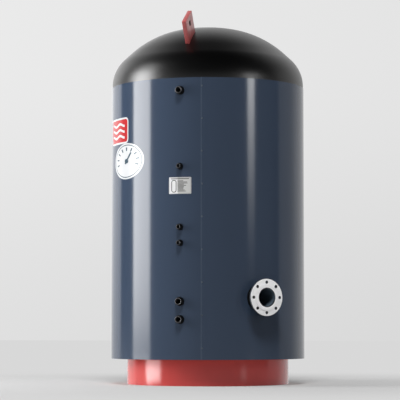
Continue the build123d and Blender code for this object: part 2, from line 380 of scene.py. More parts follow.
# The lighter coat is a painted highlight on the rivet heads.
colour = head_coat.mix(head_coat.noise(300, 3), rgba(RIVET_COAT_AND_HIGHLIGHT), rgba(RIVET_SHADE))
head_coat.feed("Base Color", colour)
head_coat.feed("Roughness", head_coat.noise(400, 3) * 0.1 + 0.25)
head_coat.bump(head_coat.noise(900, 2), 0.00003, 0.4)
rivet_paint = head_coat.material
COUNT, NUMBER, LENGTH = "NodeSocketInt", "NodeSocketFloat", "NodeSocketFloat"
board, size = geometry("rivet_row", count=COUNT, pitch=LENGTH, radius=LENGTH, height=LENGTH)
step = board.add("ShaderNodeCombineXYZ", inputs={1: size["pitch"]})
row = board.add("GeometryNodeMeshLine", inputs={"Count": size["count"], "Offset": step})
ball = board.add("GeometryNodeMeshUVSphere", inputs={"Segments": 24, "Rings": 12, "Radius": 1.0})
flat = board.add("ShaderNodeCombineXYZ", inputs={0: size["radius"], 1: size["radius"], 2: size["height"]})
head = board.add("GeometryNodeTransform", inputs={"Geometry": ball, "Scale": flat})
row = board.add("GeometryNodeInstanceOnPoints", inputs={"Points": row, "Instance": head})
rivet_tree = closed(board, row, rivet_paint)
rivets = grown(
    "jacket_rivets", rivet_tree, count=RIVETS, pitch=RIVET_PITCH, radius=RIVET_RADIUS, height=RIVET_HEIGHT
)
rivets.data.transform(outward(LAP_AZIMUTH, RIVET_LOWEST, jacket_radius + SHEET))
dressed(rivets, rivet_paint, "blue_paint", sharp=60)

# Top cover
# A deep-drawn black plastic cover over the foam, its rim pushed down inside the jacket,
# with a slot that the lifting lug comes up through.
cover_low, cover_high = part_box("top_cover")
cover_radius = cover_high.x
COVER_WALL = 0.004
COVER_STRAIGHT = 0.017
COVER_KNUCKLE = 0.215
COVER_SLOPE = math.radians(42.5)
COVER_CONE_RUN = 0.046
COVER_FLAT = 0.070
EDGE = 0.0015
COVER_BLACK = (0.0009, 0.0009, 0.0010)
COVER_GREY = (0.00144, 0.00144, 0.0016)
LUG_AZIMUTH = 1
LUG_INSET = 0.185
LUG_THICKNESS = 0.025
LUG_LENGTH = 0.160
SLOT_GAP = 0.0015
SLOT_REACH = 0.1


def arc(centre, radius, start, end, steps):
    """Points of an arc between two angles in degrees, (radius, height) about a centre."""
    turns = [math.radians(start + (end - start) * i / steps) for i in range(steps + 1)]
    return [(centre[0] + radius * math.cos(t), centre[1] + radius * math.sin(t)) for t in turns]


def eased(points, radius, steps=3):
    """A closed outline with each corner rounded."""
    outline = []
    for i, corner in enumerate(points):
        corner = Vector(corner)
        before = Vector(points[i - 1]) - corner
        after = Vector(points[(i + 1) % len(points)]) - corner
        reach = min(radius, before.length / 2.5, after.length / 2.5)
        start, end = corner + before.normalized() * reach, corner + after.normalized() * reach
        for k in range(steps + 1):
            t = k / steps
            outline.append(tuple(start * (1 - t) ** 2 + corner * 2 * t * (1 - t) + end * t**2))
    return outline


cover_spring = jacket_high.z + COVER_STRAIGHT
cone_edge = cover_radius - COVER_KNUCKLE * (1 - math.sin(COVER_SLOPE)) - COVER_CONE_RUN
crown_radius = (cone_edge - COVER_FLAT) / math.sin(COVER_SLOPE)
crown_centre = cover_high.z - crown_radius
tilt = math.degrees(COVER_SLOPE)


def cover_line(inset):
    """The cover's section from its rim up to the axis."""
    heel = (cover_radius - COVER_KNUCKLE, cover_spring)
    knuckle = arc(heel, COVER_KNUCKLE - inset, 0, 90 - tilt, 24)
    crown = arc((COVER_FLAT, crown_centre), crown_radius - inset, 90 - tilt, 90, 40)
    return knuckle + crown + [(0, crown[-1][1])]


rim = arc((cover_radius - EDGE, cover_low.z + EDGE), EDGE, -90, 0, 3)
inner_rim = [(cover_radius - COVER_WALL, cover_low.z)]
cover = turned("cover", rim + cover_line(0) + cover_line(COVER_WALL)[::-1] + inner_rim, steps=240)

lug_slope = math.asin((cover_radius - LUG_INSET - COVER_FLAT) / crown_radius)
lug_foot = Vector((0, LUG_INSET - cover_radius, crown_centre + crown_radius * math.cos(lug_slope)))
lug_unturned = Matrix.Translation(lug_foot) @ Matrix.Rotation(lug_slope, 4, "X")
lug_place = Matrix.Rotation(math.radians(LUG_AZIMUTH), 4, "Z") @ lug_unturned
slot_half = (LUG_THICKNESS / 2 + SLOT_GAP, LUG_LENGTH / 2 + SLOT_GAP, SLOT_REACH)
corners = [(x, y, z) for x in (-1, 1) for y in (-1, 1) for z in (-1, 1)]
slot_cutter = made(
    "slot",
    [lug_place @ Vector([side * half for side, half in zip(corner, slot_half)]) for corner in corners],
    [(0, 1, 3, 2), (4, 6, 7, 5), (0, 4, 5, 1), (2, 3, 7, 6), (0, 2, 6, 4), (1, 5, 7, 3)],
)
cut(cover, slot_cutter)

satin = Finish("black_cover", Roughness=0.4, Specular_IOR_Level=0.8)
satin.feed("Base Color", satin.mix(satin.noise(3, 2), rgba(COVER_BLACK), rgba(COVER_GREY)))
satin.feed("Roughness", satin.noise(60, 3) * 0.06 + 0.30)
satin.bump(satin.noise(900, 2), 0.00003, 0.4)
dressed(cover, satin.material, "black_cover", "top_cover", sharp=35)

# Lifting lug
# A flame-cut steel plate on edge, welded to the vessel's top end under the foam and
# painted red, with a hole for a shackle.
# The lug's red is a darker copy of the foot's red paint: painted shade on the lug.
LUG_RED_WITH_PAINTED_SHADE = (0.43, 0.078, 0.078)
LUG_SHADE = (0.39, 0.070, 0.070)
# The wall of the shackle hole is coloured near black: painted shade in the hole.
LUG_HOLE_PAINTED_SHADE = (0.020, 0.018, 0.017)
LUG_BEVEL = 0.0016
LUG_HOLE = 0.0175
LUG_HOLE_RISE = 0.092


def refined(node, name, bevel=0.0, corner=20):
    """A merged copy of a CAD node's mesh, its sharp edges broken by a bevel."""
    thing = made(name, [], [])
    shape = bmesh.new()
    shape.from_mesh(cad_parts[node].data)
    bmesh.ops.remove_doubles(shape, verts=shape.verts, dist=1e-5)
    bmesh.ops.dissolve_limit(
        shape, angle_limit=math.radians(0.5), verts=shape.verts, edges=shape.edges
    )
    bmesh.ops.recalc_face_normals(shape, faces=shape.faces)
    shape.to_mesh(thing.data)
    shape.free()
    if bevel:
        edge = thing.modifiers.new("bevel", "BEVEL")
        edge.width = bevel
        edge.segments = 3
        edge.limit_method = "ANGLE"
        edge.angle_limit = math.radians(corner)
        applied(thing)
    return thing


def red_coat(name, red, shade, rough, shine, masked=None):
    """Red paint on rolled or flame-cut steel, a little uneven, with painted shade where a mask says."""
    coat = Finish(name, Roughness=rough, Specular_IOR_Level=shine)
    colour = coat.mix(coat.noise(6, 4), rgba(red), rgba(shade))
    if masked:
        colour = coat.mix(masked(coat), colour, rgba(LUG_HOLE_PAINTED_SHADE))
    coat.feed("Base Color", colour)
    coat.feed("Roughness", coat.noise(70, 3) * 0.06 + rough - 0.03)
    coat.bump(coat.noise(240, 3), 0.00005, 0.35)
    return coat.material


def lug_bore(coat):
    """1 on the wall of the lug's hole, which gets painted shade."""
    hole = lug_unturned @ Vector((0, 0, LUG_HOLE_RISE))
    unturned = coat.place(turn=(0, 0, -math.radians(LUG_AZIMUTH)))
    spot = coat.add("ShaderNodeSeparateXYZ", inputs={0: unturned})
    along, up = spot.other("Y") - hole.y, spot.other("Z") - hole.z
    return 1 - (along * along + up * up).root().step(LUG_HOLE + 0.0006, 0.0004)


lug = refined("lifting_lug", "lug", LUG_BEVEL, 40)
lug_paint = red_coat("lug_paint", LUG_RED_WITH_PAINTED_SHADE, LUG_SHADE, 0.30, 1.0, lug_bore)
dressed(lug, lug_paint, "red_paint", "lifting_lug", sharp=40)

# Foot ring and bottom end
# A ring rolled from 6 mm plate, welded under the vessel's bottom end and painted red
# with it. The tank stands on the ring's lower edge.
foot_low, foot_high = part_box("foot_ring")
FOOT_WALL = 0.006
FOOT_EDGE = 0.0012
FOOT_RED = (0.64, 0.068, 0.062)
FOOT_SHADE = (0.58, 0.062, 0.057)
foot_outline = [
    (foot_high.x - FOOT_WALL, foot_low.z), (foot_high.x, foot_low.z),
    (foot_high.x, foot_high.z), (foot_high.x - FOOT_WALL, foot_high.z),
]
foot = turned("foot", eased(foot_outline, FOOT_EDGE), steps=240)
foot_paint = red_coat("foot_paint", FOOT_RED, FOOT_SHADE, 0.17, 0.5)
dressed(foot, foot_paint, "red_paint", "foot_ring", sharp=60)
bottom_end = refined("vessel_bottom_end", "bottom_end")
dressed(bottom_end, foot_paint, "red_paint", "vessel_bottom_end")

# Sockets
# Turned steel welding sockets, painted black, with an internal pipe thread each: three
# large ones for pipes and three small ones for a thermometer and sensors.
CHAMFER = 0.0015
SOCKET_EASE = 0.0004
THREAD_START = 0.0012
THREAD_FLANK = 0.55
LARGE_THREAD = {"root": 0.016624, "crest": 0.01515, "pitch": 0.002309, "length": 0.030, "bore": 0.0135}
SMALL_THREAD = {"root": 0.010478, "crest": 0.0093, "pitch": 0.001814, "length": 0.022, "bore": 0.008}
LARGE_SOCKET_LEAST = 0.015

SOCKET_FACE = 0.040
BARE_FACE = 0.0004
BLACK_PAINT = (0.0015, 0.0015, 0.0017)
BLACK_WORN = (0.003, 0.003, 0.0034)
TURNED_STEEL = (0.23, 0.23, 0.24)
TURNED_SHADE = (0.17, 0.17, 0.18)
TURNED_METAL = 0.5


def black_coat(name, mask=None):
    """Black paint on turned steel, with bare machined metal where the mask is 1."""
    coat = Finish(name, Roughness=0.32, Specular_IOR_Level=0.3)
    colour = coat.mix(coat.noise(40, 3), rgba(BLACK_PAINT), rgba(BLACK_WORN))
    if mask:
        masked = mask(coat)
        steel = coat.mix(coat.noise(300, 3), rgba(TURNED_STEEL), rgba(TURNED_SHADE))
        colour = coat.mix(masked, colour, steel)
        coat.feed("Metallic", masked * TURNED_METAL)
    coat.feed("Base Color", colour)
    coat.feed("Roughness", coat.noise(160, 3) * 0.12 + 0.28)
    coat.bump(coat.noise(700, 2), 0.00004, 0.4)
    return coat.material


def socket_face(coat):
    """1 on the sockets' flat ends, which are turned after painting."""
    spot = coat.add("ShaderNodeSeparateXYZ", inputs={0: coat.place()})
    return (-spot.other("Y")).step(jacket_radius + SOCKET_FACE - BARE_FACE, 0.0002)


socket_paint = black_coat("socket_paint", socket_face)
board, size = geometry("thread", radius=LENGTH, depth=LENGTH, pitch=LENGTH, turns=NUMBER)
helix = board.add("GeometryNodeCurveSpiral", inputs={
    "Resolution": 48, "Rotations": size["turns"], "Start Radius": size["radius"],
    "End Radius": size["radius"], "Height": size["turns"] * size["pitch"],
})
upright = board.add("GeometryNodeSetCurveNormal", {"mode": "Z_UP"}, {"Curve": helix})
ridge = board.add("GeometryNodeCurvePrimitiveCircle", inputs={"Resolution": 3, "Radius": 1.0})
flank = size["pitch"] * THREAD_FLANK
ridge_size = board.add("ShaderNodeCombineXYZ", inputs={0: size["depth"], 1: flank})
ridge = board.add("GeometryNodeTransform", inputs={"Geometry": ridge, "Scale": ridge_size})
ridge = board.add("GeometryNodeCurveToMesh", inputs={
    "Curve": upright, "Profile Curve": ridge, "Fill Caps": True,
})
thread_tree = closed(board, ridge, socket_paint)


def joined(thing, *others):
    """Adds other objects' meshes to an object's and deletes them."""
    shape = bmesh.new()
    shape.from_mesh(thing.data)
    for other in others:
        shape.from_mesh(other.data)
    shape.to_mesh(thing.data)
    shape.free()
    for other in others:
        bpy.data.objects.remove(other)
    return thing


for name in SOCKETS:
    low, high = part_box(f"{name}_socket")
    height, body = opening(f"{name}_socket")
    thread = LARGE_THREAD if body > LARGE_SOCKET_LEAST else SMALL_THREAD
    start, face = -high.y, -low.y
    thread_end = face - thread["length"]
    outline = [
        (thread["bore"], start), (body, start), (body, face - CHAMFER), (body - CHAMFER, face),
        (thread["root"] + CHAMFER / 2, face), (thread["root"], face - CHAMFER / 2),
        (thread["root"], thread_end), (thread["bore"], thread_end),
    ]
    socket = turned(f"{name}_tube", eased(outline, SOCKET_EASE, 2), outward(0, height), 64)
    depth = thread["root"] - thread["crest"]
    turns = (thread["length"] - 2 * THREAD_START) / thread["pitch"]
    helix = grown(f"{name}_thread", thread_tree, radius=thread["root"] - depth / 3,
                  depth=depth * 2 / 3, pitch=thread["pitch"], turns=turns)
    helix.data.transform(outward(0, height, thread_end + THREAD_START))
    joined(socket, helix)
    dressed(socket, socket_paint, "black_paint", f"{name}_socket", sharp=35)

# Collars
# Moulded rubber collars that close the jacket's holes, each with a rim that lies on the
# round of the jacket and a short sleeve round its socket.
COLLAR_SEAT = 0.0003
SLEEVE_WALL = 0.004
COLLAR_PROUD = 0.009
COLLAR_EASE = 0.0018
COLLAR_DEEP = 0.02
FLANGE_SLEEVE = 0.026
RUBBER = (0.002, 0.002, 0.002)
RUBBER_WORN = (0.004, 0.004, 0.004)

rubber = Finish("black_rubber", Roughness=0.5, Specular_IOR_Level=0.2)
rubber.feed("Base Color", rubber.mix(rubber.noise(50, 3), rgba(RUBBER), rgba(RUBBER_WORN)))
rubber.feed("Roughness", rubber.noise(120, 3) * 0.15 + 0.4)
rubber.bump(rubber.noise(600, 2), 0.00005, 0.5)
black_rubber = rubber.material


def collar(name, node, azimuth, height, bore, rim, end):
    """A turned collar whose underside is fitted to the jacket."""
    place = outward(azimuth, height)
    base = jacket_radius - COLLAR_DEEP
    rim_face = jacket_radius + COLLAR_PROUD
    outline = [
        (bore, base), (rim, base), (rim, rim_face), (bore + SLEEVE_WALL, rim_face),
        (bore + SLEEVE_WALL, end), (bore, end),
    ]
    thing = turned(name, eased(outline, COLLAR_EASE, 4), place, 96)
    back = place.inverted()
    for vertex in thing.data.vertices:
        local = back @ vertex.co
        seat = math.sqrt(jacket_radius**2 - local.x**2) + COLLAR_SEAT
        if local.z < seat:
            vertex.co = place @ Vector((local.x, local.y, seat))
    shape = bmesh.new()
    shape.from_mesh(thing.data)
    bmesh.ops.remove_doubles(shape, verts=shape.verts, dist=1e-6)
    shape.to_mesh(thing.data)
    shape.free()
    return dressed(thing, black_rubber, "black_rubber", node, sharp=50)


for name in SOCKETS:
    height, body = opening(f"{name}_socket")
    low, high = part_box(f"{name}_collar")
    collar(f"{name}_grommet", f"{name}_collar", 0, height, body + COLLAR_SEAT,
           (high.z - low.z) / 2, -low.y)

# Flanged opening
# A steel neck welded into the shell, with a welded flange whose face is turned bright
# and drilled for eight bolts. The neck is painted black and its collar is rubber.
FACE_DISTANCE = jacket_radius + 0.090
FLANGE_THICKNESS = 0.020
FACE_RADIUS = 0.079
FACE_HEIGHT = 0.003
FACE_STEP = 0.001
FLANGE_CHAMFER = 0.0015
FLANGE_EASE = 0.0007
BOLT_CIRCLE = 0.090
BOLT_HOLE = 0.009
BOLTS = 8
BOLT_CHAMFER = 0.001
DRILL_REACH = 0.01
DRILL_LIP = 0.001
FLANGE_BRIGHT = (0.95, 0.95, 0.95)
FLANGE_DULL = (0.90, 0.90, 0.91)
FLANGE_COAT = (0.020, 0.028, 0.038)
HOLE_SHADE = (0.002, 0.002, 0.002)
HOLE_EDGE = 0.0004
HOLE_SOFT = 0.0002
TURNING = 5200
BEAD = 0.005
BEAD_RIPPLES = 90
BEAD_SWELL = 0.07
FIT_GAP = 0.0003
PRIMER = (0.095, 0.130, 0.165)
PRIMER_SHADE = (0.082, 0.114, 0.145)

flange_place = outward(FLANGE_AZIMUTH, flange_height)
flange_bore = neck_radius + FIT_GAP
rim_front, rim_back = FACE_DISTANCE - FACE_HEIGHT, FACE_DISTANCE - FLANGE_THICKNESS
flange_outline = [
    (flange_bore, rim_back), (flange_radius - FLANGE_CHAMFER, rim_back),
    (flange_radius, rim_back + FLANGE_CHAMFER), (flange_radius, rim_front - FLANGE_CHAMFER),
    (flange_radius - FLANGE_CHAMFER, rim_front), (FACE_RADIUS + FACE_STEP, rim_front),
    (FACE_RADIUS, FACE_DISTANCE), (flange_bore, FACE_DISTANCE),
]
flange = turned("flange", eased(flange_outline, FLANGE_EASE), flange_place, 160)
bolt_profile = [
    (0, rim_back - DRILL_REACH), (BOLT_HOLE, rim_back - DRILL_REACH),
    (BOLT_HOLE, rim_front - BOLT_CHAMFER),
    (BOLT_HOLE + BOLT_CHAMFER + DRILL_LIP, rim_front + DRILL_LIP), (0, rim_front + DRILL_LIP),
]
bolt_cutters = []
for bolt in range(BOLTS):
    turn = math.tau * bolt / BOLTS
    spot = Matrix.Translation((BOLT_CIRCLE * math.sin(turn), BOLT_CIRCLE * math.cos(turn), 0))
    bolt_cutters.append(turned("bolt_hole", bolt_profile, flange_place @ spot, 40))
cut(flange, *bolt_cutters)

bright = Finish("machined_steel", Roughness=0.4, Specular_IOR_Level=1.0)
local = bright.add("ShaderNodeMapping", {"vector_type": "TEXTURE"}, {
    "Vector": bright.add("ShaderNodeTexCoord", out="Object"),
    "Location": flange_place.translation, "Rotation": flange_place.to_euler(),
})
axes = bright.add("ShaderNodeSeparateXYZ", inputs={0: local})
out_from_axis = (axes * axes + axes.other("Y") * axes.other("Y")).root()
groove = (out_from_axis * TURNING).sine()
sector = axes.math("ARCTAN2", axes, axes.other("Y")) * (BOLTS / math.tau) + 0.5
off_bolt = (sector - sector.floor() - 0.5) * (math.tau / BOLTS)
cosine = (off_bolt + math.pi / 2).sine()
square = out_from_axis * out_from_axis + BOLT_CIRCLE**2
to_bolt = (square - out_from_axis * cosine * (2 * BOLT_CIRCLE)).root()
off_hole = to_bolt.step(BOLT_HOLE + HOLE_EDGE, HOLE_SOFT)
drilled = 1 - off_hole.least(out_from_axis.step(flange_bore + HOLE_EDGE, HOLE_SOFT))
painted = 1 - axes.other("Z").step(rim_front - FLANGE_CHAMFER, HOLE_EDGE)
colour = bright.mix(bright.noise(30, 4), rgba(FLANGE_BRIGHT), rgba(FLANGE_DULL))
colour = bright.mix(painted, colour, rgba(FLANGE_COAT))
bright.feed("Base Color", bright.mix(drilled, colour, rgba(HOLE_SHADE)))
bright.feed("Roughness", bright.noise(90, 3) * 0.12 + 0.34)
bright.bump(groove, 0.00002, 0.5)
dressed(flange, bright.material, "machined_steel", "flange_ring", sharp=30)

neck_paint = black_coat("neck_paint")
primer = Finish("bore_primer", Roughness=0.5)
primer.feed("Base Color", primer.mix(primer.noise(30, 4), rgba(PRIMER), rgba(PRIMER_SHADE)))
primer.feed("Roughness", primer.noise(160, 3) * 0.1 + 0.45)
primer.bump(primer.noise(300, 3), 0.0001, 0.4)
neck = refined("flange_neck", "neck")
board, size = geometry("weld_bead", radius=LENGTH, bead=LENGTH, ripples=COUNT)
loop = board.add("GeometryNodeCurvePrimitiveCircle", inputs={
    "Resolution": 720, "Radius": size["radius"],
})
along = board.add("GeometryNodeSplineParameter")
swell = (along * size["ripples"] * math.tau).sine() * BEAD_SWELL + 1.0
bead = board.add("GeometryNodeCurvePrimitiveCircle", inputs={"Resolution": 12, "Radius": size["bead"]})
bead = board.add("GeometryNodeCurveToMesh", inputs={
    "Curve": loop, "Profile Curve": bead, "Scale": swell,
})
weld_tree = closed(board, bead, neck_paint)
weld = grown("neck_weld", weld_tree, radius=neck_radius, bead=BEAD, ripples=BEAD_RIPPLES)
weld.data.transform(outward(FLANGE_AZIMUTH, flange_height, rim_back - BEAD * 0.2))
joined(neck, weld)
dressed(neck, neck_paint, "black_paint", "flange_neck", sharp=40)
neck.data.materials.append(primer.material)
back = flange_place.inverted()
for face in neck.data.polygons:
    middle, normal = back @ face.center, back.to_3x3() @ face.normal
    if middle.xy.length < neck_radius and normal.xy.dot(middle.xy) <= 0:
        face.material_index = 1
collar("neck_grommet", "flange_collar", FLANGE_AZIMUTH, flange_height, neck_radius + COLLAR_SEAT,
       opening("flange_collar")[1], jacket_radius + FLANGE_SLEEVE)

# Rating plate
# A thin aluminium plate rolled to the jacket, printed with a title bar, a plain outline of
# a tank and rows of short bars.
plate_low, plate_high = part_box("rating_plate")
PLATE_AZIMUTH = 0
PLATE_CORNER = 0.004
PLATE_SEAT = 0.0003
PLATE_THICKNESS = 0.001
PLATE_WIDTH = 0.138
PLATE_METAL = (0.72, 0.72, 0.72)
PLATE_SHADE = (0.67, 0.67, 0.68)
PLATE_FIELD = (0.50, 0.50, 0.49)
PLATE_INK = (0.020, 0.020, 0.022)
COLUMN = 0.004
SOFT = 0.0004
TANK_LEFT, TANK_DOWN, TANK_WIDTH, TANK_TALL, TANK_CORNER = 0.038, 0.004, 0.028, 0.070, 0.012
TANK_LINE = 0.0022
BAR_LEFT, BAR_DOWN, BAR_PITCH, BAR_LEAST, BAR_SPREAD = 0.016, 0.003, 0.0068, 0.020, 0.030
BAR_FOOT, BAR_TOP, BAR_SOFT, BARS_HALF = 0.22, 0.74, 0.1, 0.034
TITLE_UP, TITLE_HALF, TITLE_REACH = 0.040, 0.0022, 0.056
FRAME_WIDTH, FRAME_TALL, FRAME_CORNER, FRAME_LINE, FRAME_INK = 0.130, 0.092, 0.003, 0.0006, 0.6
FIELD_LEFT = 0.014


def oblong(width, tall, corner):
    """Half heights of a round-cornered box at stops along it."""
    straight = width / 2 - corner
    count = math.ceil(straight / COLUMN)
    stops = [straight * i / count for i in range(count)]
    stops += [straight + corner * math.sin(math.pi / 2 * i / 12) for i in range(13)]
    outline = []
    for stop in sorted({round(side * stop, 7) for stop in stops for side in (-1, 1)}):
        past = max(0.0, abs(stop) - straight)
        outline.append((stop, tall / 2 - corner + math.sqrt(max(0.0, corner**2 - past**2))))
    return outline


def rolled(name, radius, thickness, azimuth, height, outline):
    """A sheet of an outline, rolled to a radius round the tank."""
    vertices = []
    for across, reach in outline:
        turn = math.radians(azimuth) + across / radius
        out = Vector((math.sin(turn), -math.cos(turn), 0))
        for distance, z in ((radius + thickness, reach), (radius + thickness, -reach),
                            (radius, -reach), (radius, reach)):
            vertices.append(out * distance + Vector((0, 0, height + z)))
    last = 4 * (len(outline) - 1)
    faces = [(0, 1, 2, 3), (last, last + 1, last + 2, last + 3)]
    for column in range(len(outline) - 1):
        here, there = 4 * column, 4 * column + 4
        faces += [(here + i, there + i, there + (i + 1) % 4, here + (i + 1) % 4) for i in range(4)]
    return made(name, vertices, faces)


def unrolled(finish, azimuth, height):
    """Distances along and up the jacket from the middle of a label, from Object coordinates."""
    spot = finish.add("ShaderNodeSeparateXYZ", inputs={0: finish.place()})
    turn = spot.math("ARCTAN2", spot, -spot.other("Y"))
    return (turn - math.radians(azimuth)) * jacket_radius, spot.other("Z") - height


def rounded_box(along, up, width, tall, corner):
    """How far a place lies outside a round-cornered box, negative inside it."""
    dx = abs(along) - (width / 2 - corner)
    dy = abs(up) - (tall / 2 - corner)
    dx, dy = dx.most(0), dy.most(0)
    return (dx * dx + dy * dy).root() - corner


plate_middle = (plate_low.z + plate_high.z) / 2
plate_tall = plate_high.z - plate_low.z
plate = rolled("plate", jacket_radius + PLATE_SEAT, PLATE_THICKNESS, PLATE_AZIMUTH, plate_middle,
               oblong(PLATE_WIDTH, plate_tall, PLATE_CORNER))
label = Finish("printed_plate", Roughness=0.3)
along, up = unrolled(label, PLATE_AZIMUTH, plate_middle)
tank = rounded_box(along + TANK_LEFT, up + TANK_DOWN, TANK_WIDTH, TANK_TALL, TANK_CORNER)
tank_ink = (-abs(tank)).step(-TANK_LINE, SOFT)
line = (up + BAR_DOWN) / BAR_PITCH
row = line.floor()
tick = line - row
bars = tick.step(BAR_FOOT, BAR_SOFT) - tick.step(BAR_TOP, BAR_SOFT)
reach = label.add("ShaderNodeTexWhiteNoise", {"noise_dimensions": "1D"}, {"W": row}, out="Value")
bar_end = reach * BAR_SPREAD + BAR_LEAST
bars = bars * (along + BAR_LEFT).step(0, SOFT) * (1 - (along - bar_end).step(0, SOFT))
bars = bars * (1 - abs(up + TANK_DOWN).step(BARS_HALF, SOFT))
title = 1 - abs(up - TITLE_UP).step(TITLE_HALF, SOFT)
title = title * (1 - abs(along).step(TITLE_REACH, SOFT))
frame_line = rounded_box(along, up, FRAME_WIDTH, FRAME_TALL, FRAME_CORNER)
frame_line = (-abs(frame_line)).step(-FRAME_LINE, SOFT)
ink = tank_ink.most(bars).most(title).most(frame_line * FRAME_INK)
metal = label.mix(label.noise(60, 3), rgba(PLATE_METAL), rgba(PLATE_SHADE))
metal = label.mix((along + FIELD_LEFT).step(0, SOFT), metal, rgba(PLATE_FIELD))
label.feed("Base Color", label.mix(ink, metal, rgba(PLATE_INK)))
label.feed("Roughness", label.noise(400, 2, (1, 1, 12)) * 0.15 + 0.3)
label.bump(label.noise(500, 2, (1, 1, 20)), 0.00002, 0.4)
dressed(plate, label.material, "plate", "rating_plate", sharp=30)

# Marks on the jacket
# Two printed films stuck to the paint, cut from thin vinyl: a red panel with plain waves,
# and under it a white oval with a plain dial.
FILM = 0.0002
FILM_SEAT = 0.00005
PANEL_AZIMUTH, PANEL_MIDDLE = -50.5, 1.548
PANEL_WIDTH, PANEL_TALL, PANEL_CORNER, PANEL_BORDER = 0.270, 0.160, 0.030, 0.010
WAVE_RATE, WAVE_HEIGHT, WAVE_PITCH, WAVE_SHARE = 52, 0.007, 0.036, 0.19
WAVES_WIDE, WAVES_TALL = 0.092, 0.052
DIAL_AZIMUTH, DIAL_MIDDLE, DIAL_WIDTH, DIAL_TALL, DIAL_STEPS = -39.5, 1.358, 0.330, 0.220, 72
RING_INNER, RING_OUTER = 0.0955, 0.1005
TICK_TURN, TICK_SHARE, TICKS_TURN = math.radians(27), 0.13, math.radians(121)
TICK_INNER, TICK_OUTER = 0.062, 0.084
HUB = 0.014
NEEDLE_LEAN, NEEDLE_HALF, NEEDLE_TAIL, NEEDLE_TIP = math.radians(32), 0.0055, 0.02, 0.060
MARK_RED = (0.38, 0.008, 0.011)
MARK_WHITE = (0.53, 0.54, 0.55)
MARK_SLATE = (0.030, 0.060, 0.085)

panel = rolled("mark_panel", jacket_radius + FILM_SEAT, FILM, PANEL_AZIMUTH, PANEL_MIDDLE,
               oblong(PANEL_WIDTH, PANEL_TALL, PANEL_CORNER))
film = Finish("red_film", Roughness=0.25)
along, up = unrolled(film, PANEL_AZIMUTH, PANEL_MIDDLE)
border = rounded_box(along, up, PANEL_WIDTH, PANEL_TALL, PANEL_CORNER).step(-PANEL_BORDER, SOFT)
wave = (along * WAVE_RATE).sine() * WAVE_HEIGHT
lift = (up - wave) / WAVE_PITCH + 0.5
crest = abs(lift - lift.floor() - 0.5)
waves = (1 - crest.step(WAVE_SHARE, 0.03)) * (1 - abs(along).step(WAVES_WIDE, SOFT))
waves = waves * (1 - abs(up).step(WAVES_TALL, SOFT))
film.feed("Base Color", film.mix(border.most(waves), rgba(MARK_RED), rgba(MARK_WHITE)))
film.feed("Roughness", film.noise(150, 3) * 0.1 + 0.2)
dressed(panel, film.material, "blue_paint", sharp=30)

oval = []
for step in range(DIAL_STEPS + 1):
    turn = math.pi * step / DIAL_STEPS
    oval.append((DIAL_WIDTH / 2 * -math.cos(turn), DIAL_TALL / 2 * math.sin(turn)))
dial = rolled("mark_dial", jacket_radius + FILM_SEAT, FILM, DIAL_AZIMUTH, DIAL_MIDDLE, oval)
film = Finish("white_film", Roughness=0.25)
along, up = unrolled(film, DIAL_AZIMUTH, DIAL_MIDDLE)
wide = along * (DIAL_TALL / DIAL_WIDTH)
reach = (wide * wide + up * up).root()
ring = reach.step(RING_INNER, SOFT) - reach.step(RING_OUTER, SOFT)
turn = up.math("ARCTAN2", wide, up)
sector = turn / TICK_TURN + 0.5
tick = abs(sector - sector.floor() - 0.5)
ticks = (1 - tick.step(TICK_SHARE, 0.03)) * (reach.step(TICK_INNER, SOFT) - reach.step(TICK_OUTER, SOFT))
ticks = ticks * (1 - abs(turn).step(TICKS_TURN, 0.01))
hub = 1 - reach.step(HUB, SOFT)
side = wide * math.cos(NEEDLE_LEAN) - up * math.sin(NEEDLE_LEAN)
length = wide * math.sin(NEEDLE_LEAN) + up * math.cos(NEEDLE_LEAN)
needle = length.step(-NEEDLE_TAIL, SOFT) * (1 - length.step(NEEDLE_TIP, SOFT))
needle = needle * (1 - abs(side).step(NEEDLE_HALF, SOFT))
ink = ring.most(ticks).most(hub).most(needle)
film.feed("Base Color", film.mix(ink, rgba(MARK_WHITE), rgba(MARK_SLATE)))
film.feed("Roughness", film.noise(150, 3) * 0.1 + 0.2)
dressed(dial, film.material, "blue_paint", sharp=30)

# Foam and vessel
# Cream foam panels and cap, and the vessel of plain steel inside them, which show from
# below, round the lug and through the open flange and sockets.
FOAM = (0.74, 0.69, 0.55)
FOAM_SHADE = (0.60, 0.55, 0.43)
MILL_STEEL = (0.20, 0.21, 0.22)
MILL_SCALE = (0.11, 0.11, 0.12)
foam = Finish("foam", Roughness=0.95, Specular_IOR_Level=0.2)
cells = foam.noise(260, 4)
foam.feed("Base Color", foam.mix(cells, rgba(FOAM), rgba(FOAM_SHADE)))
foam.bump(cells, 0.0008, 0.6)
steel = Finish("vessel_steel", Metallic=0.3, Roughness=0.55)
scale = steel.noise(14, 5)
steel.feed("Base Color", steel.mix(scale, rgba(MILL_STEEL), rgba(MILL_SCALE)))
steel.feed("Roughness", scale * 0.25 + 0.42)
steel.bump(steel.noise(180, 4), 0.0002, 0.4)
for node, finish, slot in (
    ("insulation_wall", foam, "foam"), ("insulation_top", foam, "foam"),
    ("vessel_shell", steel, "vessel_steel"), ("vessel_top_end", steel, "vessel_steel"),
):
    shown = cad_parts[node]
    shown.data.materials.clear()
    shown.data.materials.append(finish.material)

